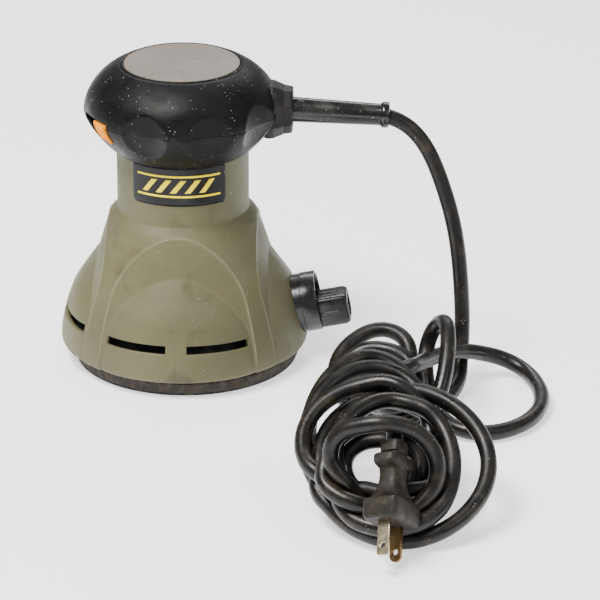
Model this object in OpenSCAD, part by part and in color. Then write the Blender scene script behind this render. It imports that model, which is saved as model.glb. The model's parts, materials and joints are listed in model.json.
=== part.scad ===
// Palm-grip random-orbit polisher with a round hook pad, a two-sided fan,
// a universal motor in the neck and a mains cord.
// Origin: centre of the skirt on the working face of the pad. +Z runs up the motor shaft,
// +X points to the cord and the dust port, and the front faces -Y.

/* [Body] */
// Largest radius of the bell-shaped housing
skirt_r = 67.8; // [67.4:0.1:68.6]
// Height of the housing's lower edge above the working face
skirt_z = 10; // [9.6:0.1:10.4]
// Radius of the motor neck
neck_r = 36; // [35.8:0.1:36.4]
// Wall thickness of the housing and the grip shells
wall = 2.6; // [2.2:0.1:2.8]
// Height of the cooling slots in the skirt
slot_h = 4.4; // [3.6:0.1:5]

/* [Grip] */
// Largest radius of the palm grip
grip_r = 53.3; // [53:0.1:54]
// Radius of the round cap on top
cap_r = 31.4; // [30.8:0.1:32]

/* [Drive] */
// Distance between the shaft's axis and the pad's axis
orbit = 1.2; // [0.8:0.1:1.6]
// Number of blades on the cooling side of the fan
fan_blades = 20; // [12:1:24]
// Outer radius of the fan
fan_r = 41; // [39:0.5:41.5]

/* [Pad] */
// Diameter of the pad
pad_d = 125; // [124:0.5:126]
// Pitch circle diameter of the pad's dust holes
dust_pcd = 65; // [63:1:67]
// Diameter of each dust hole
dust_d = 10; // [8:0.5:10]

/* [Dust port] */
// Upward tilt of the port's axis in degrees
port_tilt = 11; // [9:0.5:12]
// Outer radius of the collar that a dust bag slips over
collar_r = 16.5; // [16:0.1:17]
// Width of the square nozzle inside the collar
nozzle_w = 17.5; // [17:0.1:18]

/* [Cord] */
// Diameter of the mains cord
cord_d = 8.6; // [7.4:0.1:9]

/* [Hidden] */
$fn = 72;

// Heights of the bell, the neck and the grip
bell_low_z = 13;
bell_top_z = 82;
shoulder_z = 87.5;
neck_top_z = 128;
grip_low_z = 121.5;
grip_mid_z = 143.5;
grip_join_z = 144;
grip_top_z = 169.2;

// Heights in the pad stack
hook_top_z = 1.4;
foam_top_z = 8;
plate_top_z = 11;
flange_top_z = 14.6;
stud_head_h = 1.2;

// Heights along the shaft
shaft_low_z = 25.5;
shaft_top_z = 127.5;
shaft_r = 4;
fan_disc_z = 33;
fan_disc_t = 2;
lower_bearing_z = 47.5;
upper_bearing_z = 119;
small_bearing_w = 7;
small_bearing_r = 11;
stack_low_z = 66;
stack_top_z = 100;
comm_low_z = 104;
comm_top_z = 117;
comm_r = 10.5;
bearing_plate_z = 46;

// The pad's bearing sits in the eccentric hub
pad_bearing_z = 16;
pad_bearing_w = 8;
pad_bearing_r = 13;
journal_r = 5;
pocket_top_z = 24.2;
hub_low_z = 15;
hub_top_z = 30;

// Brushes
brush_w = 6;
brush_h = 10;
brush_z = 111.5;
brush_near = comm_r + 0.3;
brush_len = 12;
holder_far = 31.5;
brush_play = 0.1;

// Switch: its own axes are radial, tangential and up
switch_turn = -147;
switch_z = 140;
slot_half_h = 6.3;
slot_left = -14;
slot_right = 10.5;
slider_w = 11.4;
slider_side_play = 0.3;

// Faces of the bell that carry cooling slots: front, left and back
slotted_faces = [-90, 180, 90];
slot_start = 5;
slot_sweep = 31.5;
slot_z = 26;

// Bosses that hold the two grip shells together: clear of the switch and the clamp
grip_boss_turns = [45, 105, 165, -85];
grip_boss_at = 41;
grip_boss_z = 131;

// Cord and boss
boss_z = 143.3;
boss_face_x = 60;
relief_droop = 2.6;
relief_len = 48;
relief_ring_len = 4;
port_x = 63.5;
port_z = 29.4;
nozzle_drop = 5.5;
nozzle_bore_r = 6.5;
nozzle_reach = 27.5;
collar_reach = 11.5;

// The cord's route in order. The lead leaves the clamp inside the grip, falls from the
// strain relief and lands beside the tool.
lead_route = [
    [29, 0, 144.7], [112, 0, 141], [120, 0, 138.5], [128, -1, 132], [135, -3, 121],
    [141, -6, 106], [147, -10, 88], [151, -14, 69], [154, -22, 34], [154, -28, 19],
    [154, -37, 8], [152, -50, 4.4], [147, -65, 4.4], [140, -79, 4.4], [130, -91, 4.4],
    [117, -96, 4.4], [103, -91, 5], [92, -80, 7]
];
// Two loose turns behind the big coil.
back_route = [
    [92, -80, 7], [86, -67, 11], [85, -54, 17], [91, -43, 23], [101, -36, 28],
    [110, -34, 30], [119, -36, 29], [125, -43, 25], [126, -53, 18], [124, -65, 12],
    [118, -77, 11], [108, -84, 12], [97, -84, 14], [90, -76, 17], [91, -67, 23],
    [100, -64, 29], [111, -66, 32], [122, -70, 31], [129, -77, 25], [130, -87, 18],
    [125, -97, 15], [115, -102, 17], [108, -108, 24], [110, -114, 31]
];
// A wide loop out to the right and back along the floor.
loop_route = [
    [110, -114, 31], [118, -114, 36], [125, -101, 36], [132, -80, 31], [142, -58, 26],
    [153, -42, 21], [164, -31, 15], [177, -26, 10], [189, -33, 6], [196, -50, 4.4],
    [197, -73, 4.4], [190, -93, 4.4], [179, -105, 4.4], [166, -111, 4.4], [153, -108, 5],
    [143, -98, 6]
];
// A narrow loop that stands up, then the run along the floor to the big coil's left side.
stand_route = [
    [143, -98, 6], [137, -84, 12.5], [135, -70, 14], [134, -58, 20], [135, -50, 29],
    [138, -49, 38], [142, -54, 44], [145, -64, 46], [146, -77, 42], [145, -89, 33],
    [142, -100, 22], [136, -109, 12], [126, -114, 5], [112, -116, 4.4], [98, -120, 4.4],
    [86, -128, 4.4], [79, -140, 4.4]
];
// Out of the big coil's last turn, up behind the plug and into it.
tail_route = [
    [124, -190, 18], [124, -184, 30], [122, -186, 42], [120.5, -195, 51],
    [119.5, -207, 54], [119, -218, 48.5]
];
coil_at = [113, -172, 35];
coil_tilt = 28;
coil_in_r = 27;
coil_out_r = 54;
coil_h = 20;

// Plug: where the cord enters it, how far its nose points down, and its roll
plug_at = [119, -218, 48.5];
plug_pitch = 45;
plug_yaw = 2;
plug_roll = -63;
plug_body_len = 40;
blade_len = 17.5;
blade_gap = 12.7;

// Outline of the bell: the radius falls faster the higher it is.
function bell(z) = skirt_r - 0.048 * pow(max(z - bell_low_z, 0), 1.49);

// Outline of the grip: two rounded branches that meet at its widest height.
function grip_low(z) =
    let (u = min(1, max(0, (grip_mid_z - z) / (grip_mid_z - grip_low_z))))
    neck_r + (grip_r - neck_r) * pow(1 - pow(u, 1.25), 0.8);
function grip_high(z) =
    let (u = min(1, max(0, (z - grip_mid_z) / 27)))
    25 + (grip_r - 25) * pow(1 - pow(u, 1.8), 1 / 1.8);
function grip(z) = z < grip_mid_z ? grip_low(z) : grip_high(z);

function reversed(list) = [for (i = [len(list) - 1 : -1 : 0]) list[i]];
function inset(list, by) = [for (p = list) [p[0] - by, p[1]]];
function unit(v) = v / norm(v);

// The housing's outer outline from the skirt's edge to the top of the neck
housing_line = concat(
    [[skirt_r - 1.3, skirt_z], [skirt_r - 0.3, skirt_z + 1]],
    [for (z = [bell_low_z : 6 : bell_top_z - 3]) [bell(z), z]],
    [[bell(bell_top_z), bell_top_z], [39.2, 84.8], [37.2, 86.6], [neck_r, shoulder_z]],
    [[neck_r, neck_top_z]]
);

// One ring of a swept tube for each point of a route, turned as little as possible
function way(route, i) =
    unit(route[min(i + 1, len(route) - 1)] - route[max(i - 1, 0)]);
function across(n, t) = unit(n - (n * t) * t);
function side_ways(route) = [
    for (i = 0, n = across([0.31, 0.87, 0.2], way(route, 0)); i < len(route);
         n = across(n, way(route, min(i + 1, len(route) - 1))), i = i + 1) n
];
function tube_points(route, r, sides) =
    let (n = side_ways(route))
    [for (i = [0 : len(route) - 1]) for (k = [0 : sides - 1])
        let (a = 360 * k / sides)
        route[i] + r * (cos(a) * n[i] + sin(a) * cross(way(route, i), n[i]))];
function tube_faces(rings, sides) = concat(
    [[for (k = [0 : sides - 1]) k]],
    [for (i = [0 : rings - 2]) for (k = [0 : sides - 1])
        let (a = i * sides + k, b = i * sides + (k + 1) % sides)
        [a, a + sides, b + sides, b]],
    [[for (k = [sides - 1 : -1 : 0]) (rings - 1) * sides + k]]
);

module tube(route, r, sides) {
    polyhedron(tube_points(route, r, sides), tube_faces(len(route), sides), convexity = 6);
}

// A ring with a round cross hole: outer radius, bore radius and height from z
module ring(outer, bore, z, h) {
    translate([0, 0, z])
        difference() {
            cylinder(r = outer, h = h);
            translate([0, 0, -1]) cylinder(r = bore, h = h + 2);
        }
}

// Copies its children round the shaft
module around(count, first = 0) {
    for (i = [0 : count - 1]) rotate([0, 0, first + 360 * i / count]) children();
}

// A pan-head screw that points up from z, with its head below
module screw_up(r, head_r, head_h, z, reach) {
    translate([0, 0, z]) {
        difference() {
            translate([0, 0, -head_h]) cylinder(r = head_r, h = head_h, $fn = 32);
            translate([-head_r, -0.4, -head_h - 0.5]) cube([2 * head_r, 0.8, 1.3]);
        }
        cylinder(r = r, h = reach, $fn = 24);
    }
}

// Half a deep-groove bearing: the outer or the inner ring, with a groove for the balls
module bearing_ring(r_out, r_in, z, w, ball_r, groove_r) {
    rotate_extrude()
        difference() {
            translate([r_in, z]) square([r_out - r_in, w]);
            translate([groove_r, z + w / 2]) circle(r = ball_r + 0.1, $fn = 40);
        }
}

module bearing_balls(ring_r, z, ball_r, count) {
    color("silver")
        around(count) translate([ring_r, 0, z]) sphere(r = ball_r, $fn = 24);
}

module bell_shell() {
    rotate_extrude()
        polygon(concat(housing_line, reversed(inset(housing_line, wall))));
}

module slot_cutters() {
    for (face = slotted_faces)
        for (start = [slot_start, -slot_start - slot_sweep])
            rotate([0, 0, face + start])
                rotate_extrude(angle = slot_sweep)
                    translate([55, slot_z]) square([20, slot_h]);
}

// Places its children on the dust port's axis, with Z pointing out of the port
module at_port(drop = 0) {
    translate([port_x, 0, port_z])
        rotate([0, 90 - port_tilt, 0])
            translate([drop, 0, 0]) children();
}

// Places its children on the switch's axes: X radial, Y tangential
module at_switch() {
    rotate([0, 0, switch_turn]) translate([0, 0, switch_z]) children();
}

module motor_housing() {
    color([0.58, 0.56, 0.46])
        difference() {
            union() {
                bell_shell();
                around(4, 45)
                    translate([44, 0, bearing_plate_z + 3]) cylinder(r = 4.6, h = 17);
            }
            slot_cutters();
            at_port() translate([0, 0, -14]) cylinder(r = collar_r - 0.2, h = 30);
            around(4, 45) translate([44, 0, bearing_plate_z]) cylinder(r = 1.6, h = 16);
        }
}

module name_plate() {
    color([0.1, 0.1, 0.11])
        rotate([0, 0, -90 - 43])
            rotate_extrude(angle = 86)
                translate([neck_r + 0.02, 100]) square([0.5, grip_low_z - 100.4]);
}

module switch_opening() {
    at_switch()
        translate([39, slot_left, -slot_half_h])
            cube([20, slot_right - slot_left, 2 * slot_half_h]);
}

module at_grip_bosses() {
    for (turn = grip_boss_turns)
        rotate([0, 0, turn]) translate([grip_boss_at, 0, 0]) children();
}

module boss_opening() {
    translate([30, 0, boss_z]) rotate([0, 90, 0]) cylinder(r = 16.2, h = 30);
}

module grip_lower_shell() {
    outer = concat([[neck_r + 0.1, grip_low_z - 0.4], [neck_r + 0.9, grip_low_z - 0.2]],
                   [for (z = [grip_low_z + 2 : 3 : 141]) [grip(z), z]],
                   [[grip_r, grip_mid_z], [grip_r, grip_join_z]]);
    inner = [for (z = [grip_join_z : -4 : 128]) [grip(z) - wall, z]];
    color([0.13, 0.13, 0.14])
        difference() {
            union() {
                rotate_extrude()
                    polygon(concat(outer, inner, [[neck_r + 4, 125.5], [neck_r + 0.1, 125.5]]));
                at_grip_bosses()
                    translate([0, 0, grip_boss_z]) cylinder(r = 4, h = grip_join_z - grip_boss_z);
            }
            switch_opening();
            boss_opening();
            at_grip_bosses() translate([0, 0, 115]) cylinder(r = 1.6, h = 40);
            at_grip_bosses() translate([0, 0, 115]) cylinder(r = 3.2, h = grip_boss_z + 2 - 115);
        }
}

module grip_upper_shell() {
    outer = concat([[grip_r, grip_join_z + 0.05]],
                   [for (z = [146 : 2.5 : 166]) [grip(z), z]],
                   [[34.6, 168.4], [33.2, 169], [cap_r + 0.1, 169.1]]);
    inner = concat([[cap_r + 0.1, 166.4], [27, 166.4], [27, 164.4]],
                   [for (z = [162 : -4 : 146]) [grip(z) - wall, z]],
                   [[grip_r - wall, grip_join_z + 0.05]]);
    color([0.13, 0.13, 0.14])
        difference() {
            union() {
                rotate_extrude() polygon(concat(outer, inner));
                at_grip_bosses()
                    translate([0, 0, grip_join_z + 0.05]) cylinder(r = 4, h = 16);
            }
            switch_opening();
            boss_opening();
            at_grip_bosses() translate([0, 0, grip_join_z - 2]) cylinder(r = 1.6, h = 12);
        }
}

module grip_cap() {
    dome_r = 240;
    color([0.68, 0.66, 0.63])
        intersection() {
            union() {
                translate([0, 0, 166.5]) cylinder(r = cap_r, h = 6);
                translate([0, 0, 163.5]) ring(26.6, 24.6, 0, 3.1);
            }
            translate([0, 0, grip_top_z + 1.2 - dome_r]) sphere(r = dome_r, $fn = 180);
        }
}

module grip_screws() {
    color("dimgray")
        at_grip_bosses() screw_up(1.55, 3, 2, grip_boss_z + 2, 17);
}

module cord_boss() {
    color([0.16, 0.14, 0.13])
        translate([0, 0, boss_z])
            rotate([0, 90, 0])
                difference() {
                    union() {
                        translate([0, 0, 43]) cylinder(r = 14.5, h = 8);
                        translate([0, 0, 49]) rotate([0, 0, 22.5])
                            cylinder(r1 = 16, r2 = 12.4, h = boss_face_x - 49, $fn = 8);
                    }
                    translate([0, 0, 40]) cylinder(r = 7.7, h = 30);
                }
}

module strain_relief() {
    color([0.1, 0.1, 0.1])
        translate([boss_face_x, 0, boss_z])
            rotate([0, 90 + relief_droop, 0])
                difference() {
                    union() {
                        translate([0, 0, -17.3]) cylinder(r = 6.8, h = 17.3);
                        cylinder(r1 = 6.8, r2 = 5.9, h = relief_len);
                        translate([0, 0, relief_len]) cylinder(r = 7, h = relief_ring_len);
                        translate([0, 0, -20.8]) cylinder(r = 9.5, h = 3.5);
                    }
                    translate([0, 0, -22]) cylinder(r = cord_d / 2 + 0.15, h = 80);
                }
}

module switch_slider() {
    outline = [for (z = [130 : 1 : 150]) [grip(z) + 0.3, z]];
    color([0.98, 0.62, 0.08]) {
        intersection() {
            at_switch()
                translate([46, slot_right - slider_side_play - slider_w, -5.6])
                    cube([8, slider_w, 11.2]);
            rotate_extrude() polygon(concat([[0, 130]], outline, [[0, 150]]));
        }
        at_switch()
            translate([38, slot_right - slider_side_play - 7.7, -2.5]) cube([8.2, 4, 5]);
    }
}

module switch_bezel() {
    color([0.12, 0.12, 0.12])
        at_switch()
            difference() {
                translate([40, -15, -6]) cube([3, 27, 12]);
                translate([39, -11.2, -2.8]) cube([5, 19.2, 5.6]);
            }
}

module switch_body() {
    color([0.2, 0.2, 0.22])
        at_switch()
            difference() {
                translate([25, -15, -9]) cube([15, 27, 18]);
                translate([37.5, -11.5, -3]) cube([4, 19.8, 6]);
                for (y = [-9, 6]) translate([24, y, -1.5]) cube([2, 1, 3]);
            }
}

module cord_clamp() {
    color([0.25, 0.25, 0.26])
        difference() {
            union() {
                translate([30, -11, 136]) cube([8, 22, 7.9]);
                translate([30, -11, 145]) cube([8, 22, 5.4]);
            }
            translate([29, 0, 144.5]) rotate([0, 90, 0]) cylinder(r = cord_d / 2 + 0.25, h = 10);
            for (y = [-8, 8]) translate([34, y, 135]) cylinder(r = 1.5, h = 17, $fn = 24);
        }
}

module clamp_screws() {
    color("silver")
        for (y = [-8, 8])
            translate([34, y, 150.4]) mirror([0, 0, 1]) screw_up(1.45, 2.6, 1.6, 0, 12);
}

module suppression_capacitor() {
    color([0.75, 0.7, 0.3])
        translate([-9, 20, 127.4]) cube([18, 9, 14]);
}

// Insulated leads inside the grip: clamp to switch, switch and clamp to the two brushes
module internal_leads() {
    live = [[28.4, -2, 145], [20, -5, 147], [6, -9, 149], [-10, -9, 148], [-24.3, -6.7, 145]];
    back = [[28.4, 2, 144], [24, 13, 139], [17, 22, 134], [13.5, 24, 129], [9, 24.5, 123],
            [3.5, 24.5, 120.5]];
    front = [[-18, -16.6, 138], [-14, -18, 134], [-12, -23, 129], [-9, -24.5, 123],
             [-3.5, -24.5, 120.5]];
    color([0.15, 0.15, 0.6])
        for (route = [live, back, front]) tube(route, 0.9, 8);
}

module bearing_bracket() {
    color([0.22, 0.22, 0.24])
        difference() {
            union() {
                ring(15, small_bearing_r, 118.4, 9);
                ring(33.2, 29.5, 124, 3.4);
                around(4) translate([14, -4, 124]) cube([17, 8, 3.4]);
                translate([0, 0, 126.6]) ring(small_bearing_r + 1, 5, 0, 0.8);
                around(4, 45) translate([28.5, 0, 124]) cylinder(r = 4, h = 3.4);
            }
            around(4, 45) translate([28.5, 0, 120]) cylinder(r = 1.6, h = 10);
        }
}

module bracket_screws() {
    color("silver")
        around(4, 45)
            translate([28.5, 0, 127.4]) mirror([0, 0, 1]) screw_up(1.55, 3, 2, 0, 9);
}

module upper_bearing_outer() {
    color("silver")
        bearing_ring(small_bearing_r, 8.8, upper_bearing_z, small_bearing_w, 2, 7.5);
}

module upper_bearing_inner() {
    color("silver") bearing_ring(6.2, shaft_r, upper_bearing_z, small_bearing_w, 2, 7.5);
}

module upper_bearing_balls() {
    bearing_balls(7.5, upper_bearing_z + small_bearing_w / 2, 2, 7);
}

module lower_bearing_outer() {
    color("silver")
        bearing_ring(small_bearing_r, 8.8, lower_bearing_z, small_bearing_w, 2, 7.5);
}

module lower_bearing_inner() {
    color("silver") bearing_ring(6.2, shaft_r, lower_bearing_z, small_bearing_w, 2, 7.5);
}

module lower_bearing_balls() {
    bearing_balls(7.5, lower_bearing_z + small_bearing_w / 2, 2, 7);
}

module stator_core() {
    color([0.45, 0.45, 0.47])
        translate([0, 0, stack_low_z])
            linear_extrude(stack_top_z - stack_low_z)
                difference() {
                    circle(r = neck_r - wall - 0.3);
                    circle(r = 18.2);
                    for (y = [-22, 22]) translate([-11, y - 6.5]) square([22, 13]);
                }
}

module field_coils() {
    color([0.72, 0.4, 0.2]) {
        for (z = [61, stack_top_z + 0.3]) ring(29.5, 20, z, 4.2);
        for (y = [-27.5, 18.6])
            translate([-10, y, 61.5]) cube([20, 8.9, 42.5]);
    }
}

module armature_core() {
    color([0.5, 0.5, 0.52])
        translate([0, 0, stack_low_z])
            linear_extrude(stack_top_z - stack_low_z)
                difference() {
                    circle(r = 17.6);
                    circle(r = shaft_r);
                    around(12) translate([11, -1.3]) square([5, 2.6]);
                    around(12) translate([15, -0.6]) square([4, 1.2]);
                }
}

module armature_winding() {
    color([0.75, 0.38, 0.18]) {
        for (z = [stack_low_z - 5, stack_top_z])
            rotate_extrude()
                translate([shaft_r + 1, z])
                    polygon([[0, 0.5], [0.5, 0], [8.5, 0], [11, 1.5], [11, 5], [0, 5]]
                            * (z < stack_low_z ? 1 : 0.72));
        around(12)
            translate([11.2, -1.1, stack_low_z - 0.5])
                cube([3.6, 2.2, stack_top_z - stack_low_z + 1]);
    }
}

module commutator() {
    color([0.78, 0.5, 0.3])
        difference() {
            union() {
                ring(comm_r, shaft_r, comm_low_z, comm_top_z - comm_low_z);
                ring(comm_r + 1.6, shaft_r, comm_low_z, 1.4);
            }
            around(16)
                translate([comm_r - 1, -0.25, comm_low_z - 1]) cube([4, 0.5, 20]);
        }
}

module motor_shaft() {
    color("silver") translate([0, 0, shaft_low_z])
        cylinder(r = shaft_r, h = shaft_top_z - shaft_low_z);
}

// The brush side is -1 at the front and 1 at the back
module at_brush(side) {
    rotate([0, 0, side * 90]) translate([0, 0, brush_z]) children();
}

module brush_holders() {
    color([0.8, 0.65, 0.3])
        for (side = [-1, 1])
            at_brush(side) {
                difference() {
                    translate([13, -4.3, -6.3]) cube([holder_far - 13, 8.6, 12.6]);
                    translate([12, -brush_w / 2 - brush_play, -brush_h / 2 - brush_play])
                        cube([holder_far - 13, brush_w + 2 * brush_play,
                              brush_h + 2 * brush_play]);
                }
                translate([22, -3, 6.2]) cube([5, 6, 6.3]);
            }
}

module brush(side) {
    color([0.15, 0.15, 0.16])
        at_brush(side)
            translate([brush_near, -brush_w / 2, -brush_h / 2])
                cube([brush_len, brush_w, brush_h]);
}

// A round-wire spring between the brush and the end of its holder
module brush_spring(side) {
    turns = 4;
    steps = 10;
    near = brush_near + brush_len + 0.35;
    length = holder_far - 1 - near - 0.35;
    route = [for (i = [0 : turns * steps])
        [near + length * i / (turns * steps), 2.2 * cos(360 * i / steps),
         2.2 * sin(360 * i / steps)]];
    color("silver") at_brush(side) tube(route, 0.3, 8);
}

module brush_front() { brush(-1); }
module brush_back() { brush(1); }
module brush_spring_front() { brush_spring(-1); }
module brush_spring_back() { brush_spring(1); }

module bearing_plate() {
    color([0.7, 0.7, 0.72])
        difference() {
            union() {
                ring(53, small_bearing_r, bearing_plate_z, 3);
                ring(15, small_bearing_r, bearing_plate_z, 10);
                ring(small_bearing_r + 1, 6, bearing_plate_z, 1.3);
            }
            around(4, 45) translate([44, 0, bearing_plate_z - 1]) cylinder(r = 1.7, h = 6);
            around(6)
                rotate([0, 0, -20])
                    rotate_extrude(angle = 40)
                        translate([18, bearing_plate_z - 1]) square([18, 5]);
        }
}

module bearing_plate_screws() {
    color("silver")
        around(4, 45)
            translate([44, 0, 0]) screw_up(1.55, 3, 1.8, bearing_plate_z, 14);
}

// Two-sided fan: tall blades cool the motor, the low ones below pull the dust
module fan() {
    low_blades = 14;
    color([0.15, 0.15, 0.16])
        difference() {
            union() {
                ring(fan_r + 1, shaft_r, fan_disc_z, fan_disc_t);
                ring(8, shaft_r, fan_disc_z - 3, 12);
                around(fan_blades)
                    translate([15, -0.7, fan_disc_z + 1]) cube([fan_r - 15, 1.4, 9]);
                for (i = [0 : low_blades - 1])
                    rotate([0, 0, 80 - 180 + 200 * (i + 0.5) / low_blades])
                        translate([20, -0.7, fan_disc_z - 6]) cube([fan_r - 21, 1.4, 7]);
            }
            cylinder(r = shaft_r, h = 60);
        }
}

// Hub that carries the pad's bearing off the shaft's axis
module eccentric_hub() {
    color([0.6, 0.6, 0.62])
        difference() {
            translate([orbit, 0, hub_low_z]) cylinder(r = 16.2, h = hub_top_z - hub_low_z);
            translate([orbit, 0, hub_low_z - 1])
                cylinder(r = pad_bearing_r, h = pocket_top_z - hub_low_z + 1);
            cylinder(r = shaft_r, h = 60);
        }
}

module counterweight() {
    color([0.5, 0.5, 0.53])
        rotate([0, 0, 180 - 62])
            rotate_extrude(angle = 124)
                translate([18, 20.5]) square([17, fan_disc_z - 20.5]);
}

module pad_bearing_outer() {
    color("silver") translate([orbit, 0, 0])
        bearing_ring(pad_bearing_r, 10.6, pad_bearing_z, pad_bearing_w, 2.4, 9);
}

module pad_bearing_inner() {
    color("silver") translate([orbit, 0, 0])
        bearing_ring(7.4, journal_r, pad_bearing_z, pad_bearing_w, 2.4, 9);
}

module pad_bearing_balls() {
    translate([orbit, 0, 0]) bearing_balls(9, pad_bearing_z + pad_bearing_w / 2, 2.4, 8);
}

module pad_spindle() {
    color([0.62, 0.62, 0.65])
        translate([orbit, 0, 0])
            difference() {
                union() {
                    translate([0, 0, plate_top_z])
                        cylinder(r = 15, h = flange_top_z - plate_top_z);
                    translate([0, 0, plate_top_z]) cylinder(r = 7, h = 5);
                    translate([0, 0, plate_top_z])
                        cylinder(r = journal_r, h = 24 - plate_top_z);
                }
                translate([0, 0, plate_top_z - 1]) cylinder(r = 2.5, h = 11);
            }
}

// Stud moulded into the plate: the pad screws off by hand
module pad_stud() {
    color("dimgray")
        translate([orbit, 0, foam_top_z]) {
            cylinder(r = 8, h = stud_head_h);
            cylinder(r = 2.5, h = 12.5);
        }
}

module dust_holes() {
    around(8, 22.5) translate([dust_pcd / 2, 0, -5]) cylinder(r = dust_d / 2, h = 30);
}

module pad_plate() {
    color([0.2, 0.19, 0.18])
        translate([orbit, 0, 0])
            difference() {
                union() {
                    translate([0, 0, foam_top_z])
                        cylinder(r = pad_d / 2 - 2, h = plate_top_z - foam_top_z - 1);
                    translate([0, 0, foam_top_z])
                        cylinder(r = pad_d / 2 - 5, h = plate_top_z - foam_top_z);
                }
                cylinder(r = 2.6, h = 30);
                translate([0, 0, foam_top_z - 1]) cylinder(r = 8.05, h = stud_head_h + 1);
                dust_holes();
            }
}

module pad_foam() {
    color([0.2, 0.17, 0.15])
        translate([orbit, 0, 0])
            difference() {
                rotate_extrude()
                    polygon([[0, hook_top_z], [pad_d / 2 - 0.8, hook_top_z],
                             [pad_d / 2, hook_top_z + 1.6], [pad_d / 2, foam_top_z - 1.2],
                             [pad_d / 2 - 1, foam_top_z], [0, foam_top_z]]);
                dust_holes();
            }
}

module hook_face() {
    color([0.12, 0.12, 0.12])
        translate([orbit, 0, 0])
            difference() {
                cylinder(r = pad_d / 2 - 1, h = hook_top_z);
                dust_holes();
            }
}

// Rubber ring whose lip rubs on the pad plate and keeps the pad from spinning up
module pad_brake_ring() {
    color([0.1, 0.1, 0.1])
        rotate_extrude()
            polygon([[48, plate_top_z + 0.3], [50, plate_top_z + 0.3], [55, 13.4],
                     [60, 13.4], [60, 14.4], [54, 14.4]]);
}

// Inner bowl that keeps the dust below the fan's disc away from the cooling air
module dust_shroud() {
    color([0.3, 0.3, 0.3])
        difference() {
            rotate_extrude()
                polygon([[64.9, 12.2], [64.9, 14.4], [61, 14.5], [59.5, 18], [49.5, 28.2],
                         [46.6, 34], [43.4, 34], [43.4, 32.4], [45, 32.4], [48, 27.2],
                         [57.8, 17.2], [58.6, 14.5], [60.2, 14.5], [60.2, 12.2]]);
            at_port(nozzle_drop)
                translate([0, 0, -30]) cylinder(r = 8.6, h = 60);
            at_port() translate([0, 0, -6.3]) cylinder(r = collar_r, h = 30);
        }
}

module dust_collar() {
    color([0.09, 0.09, 0.1])
        at_port()
            difference() {
                union() {
                    translate([0, 0, -6]) cylinder(r = collar_r - 0.3, h = 10);
                    translate([0, 0, 3]) cylinder(r = collar_r, h = collar_reach - 3);
                }
                translate([0, 0, -2.5]) cylinder(r = collar_r - 1.8, h = 30);
                translate([nozzle_drop, 0, -8]) cylinder(r = 8.45, h = 8);
            }
}

module dust_nozzle() {
    half = nozzle_w / 2 - 2.5;
    color([0.08, 0.08, 0.08])
        at_port(nozzle_drop)
            difference() {
                union() {
                    translate([0, 0, -2.4])
                        linear_extrude(nozzle_reach + 2.4)
                            union() {
                                square([2 * half, nozzle_w], center = true);
                                square([nozzle_w, 2 * half], center = true);
                                for (x = [-half, half]) for (y = [-half, half])
                                    translate([x, y]) circle(r = 2.5, $fn = 24);
                            }
                    translate([0, 0, -7]) cylinder(r = 8.4, h = 5);
                }
                translate([0, 0, -14]) cylinder(r = nozzle_bore_r, h = 60);
            }
}

module cord_lead() { color([0.1, 0.1, 0.1]) tube(lead_route, cord_d / 2, 10); }
module cord_back_turns() { color([0.1, 0.1, 0.1]) tube(back_route, cord_d / 2, 10); }
module cord_loop() { color([0.1, 0.1, 0.1]) tube(loop_route, cord_d / 2, 10); }
module cord_stand() { color([0.1, 0.1, 0.1]) tube(stand_route, cord_d / 2, 10); }
module cord_tail() { color([0.1, 0.1, 0.1]) tube(tail_route, cord_d / 2, 10); }

// The big coil is one tilted ring of round-cornered section
module cord_coil() {
    round_r = 6;
    color([0.1, 0.1, 0.1])
        translate(coil_at)
            rotate([coil_tilt, 0, 0])
                translate([0, 0, -coil_h / 2])
                    rotate_extrude()
                        union() {
                            translate([coil_in_r + round_r, 0])
                                square([coil_out_r - coil_in_r - 2 * round_r, coil_h]);
                            translate([coil_in_r, round_r])
                                square([coil_out_r - coil_in_r, coil_h - 2 * round_r]);
                            for (r = [coil_in_r + round_r, coil_out_r - round_r])
                                for (z = [round_r, coil_h - round_r])
                                    translate([r, z]) circle(r = round_r, $fn = 32);
                        }
}

// Places its children on the plug, with Z running from the cord to the blades
module at_plug() {
    translate(plug_at)
        rotate([0, 0, -plug_yaw])
            rotate([90 + plug_pitch, 0, 0])
                rotate([0, 0, plug_roll]) children();
}

module plug_body() {
    color([0.14, 0.13, 0.12])
        at_plug() {
            cylinder(r1 = 5.4, r2 = 7, h = 16);
            translate([0, 0, 12]) cylinder(r = 8.6, h = plug_body_len - 18);
            translate([-11, -6.5, 16]) cube([22, 13, plug_body_len - 22]);
            translate([0, 0, plug_body_len - 6])
                linear_extrude(6)
                    union() {
                        square([17, 19], center = true);
                        for (x = [-8.5, 8.5]) translate([x, 0]) circle(r = 6.5);
                    }
        }
}

module plug_blades() {
    color([0.7, 0.6, 0.4])
        at_plug()
            for (x = [-blade_gap / 2, blade_gap / 2])
                translate([x, 0, plug_body_len])
                    difference() {
                        translate([-0.75, -3.15, 0]) cube([1.5, 6.3, blade_len]);
                        translate([-2, 0, blade_len - 5])
                            rotate([0, 90, 0]) cylinder(r = 1.6, h = 4);
                    }
}

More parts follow.
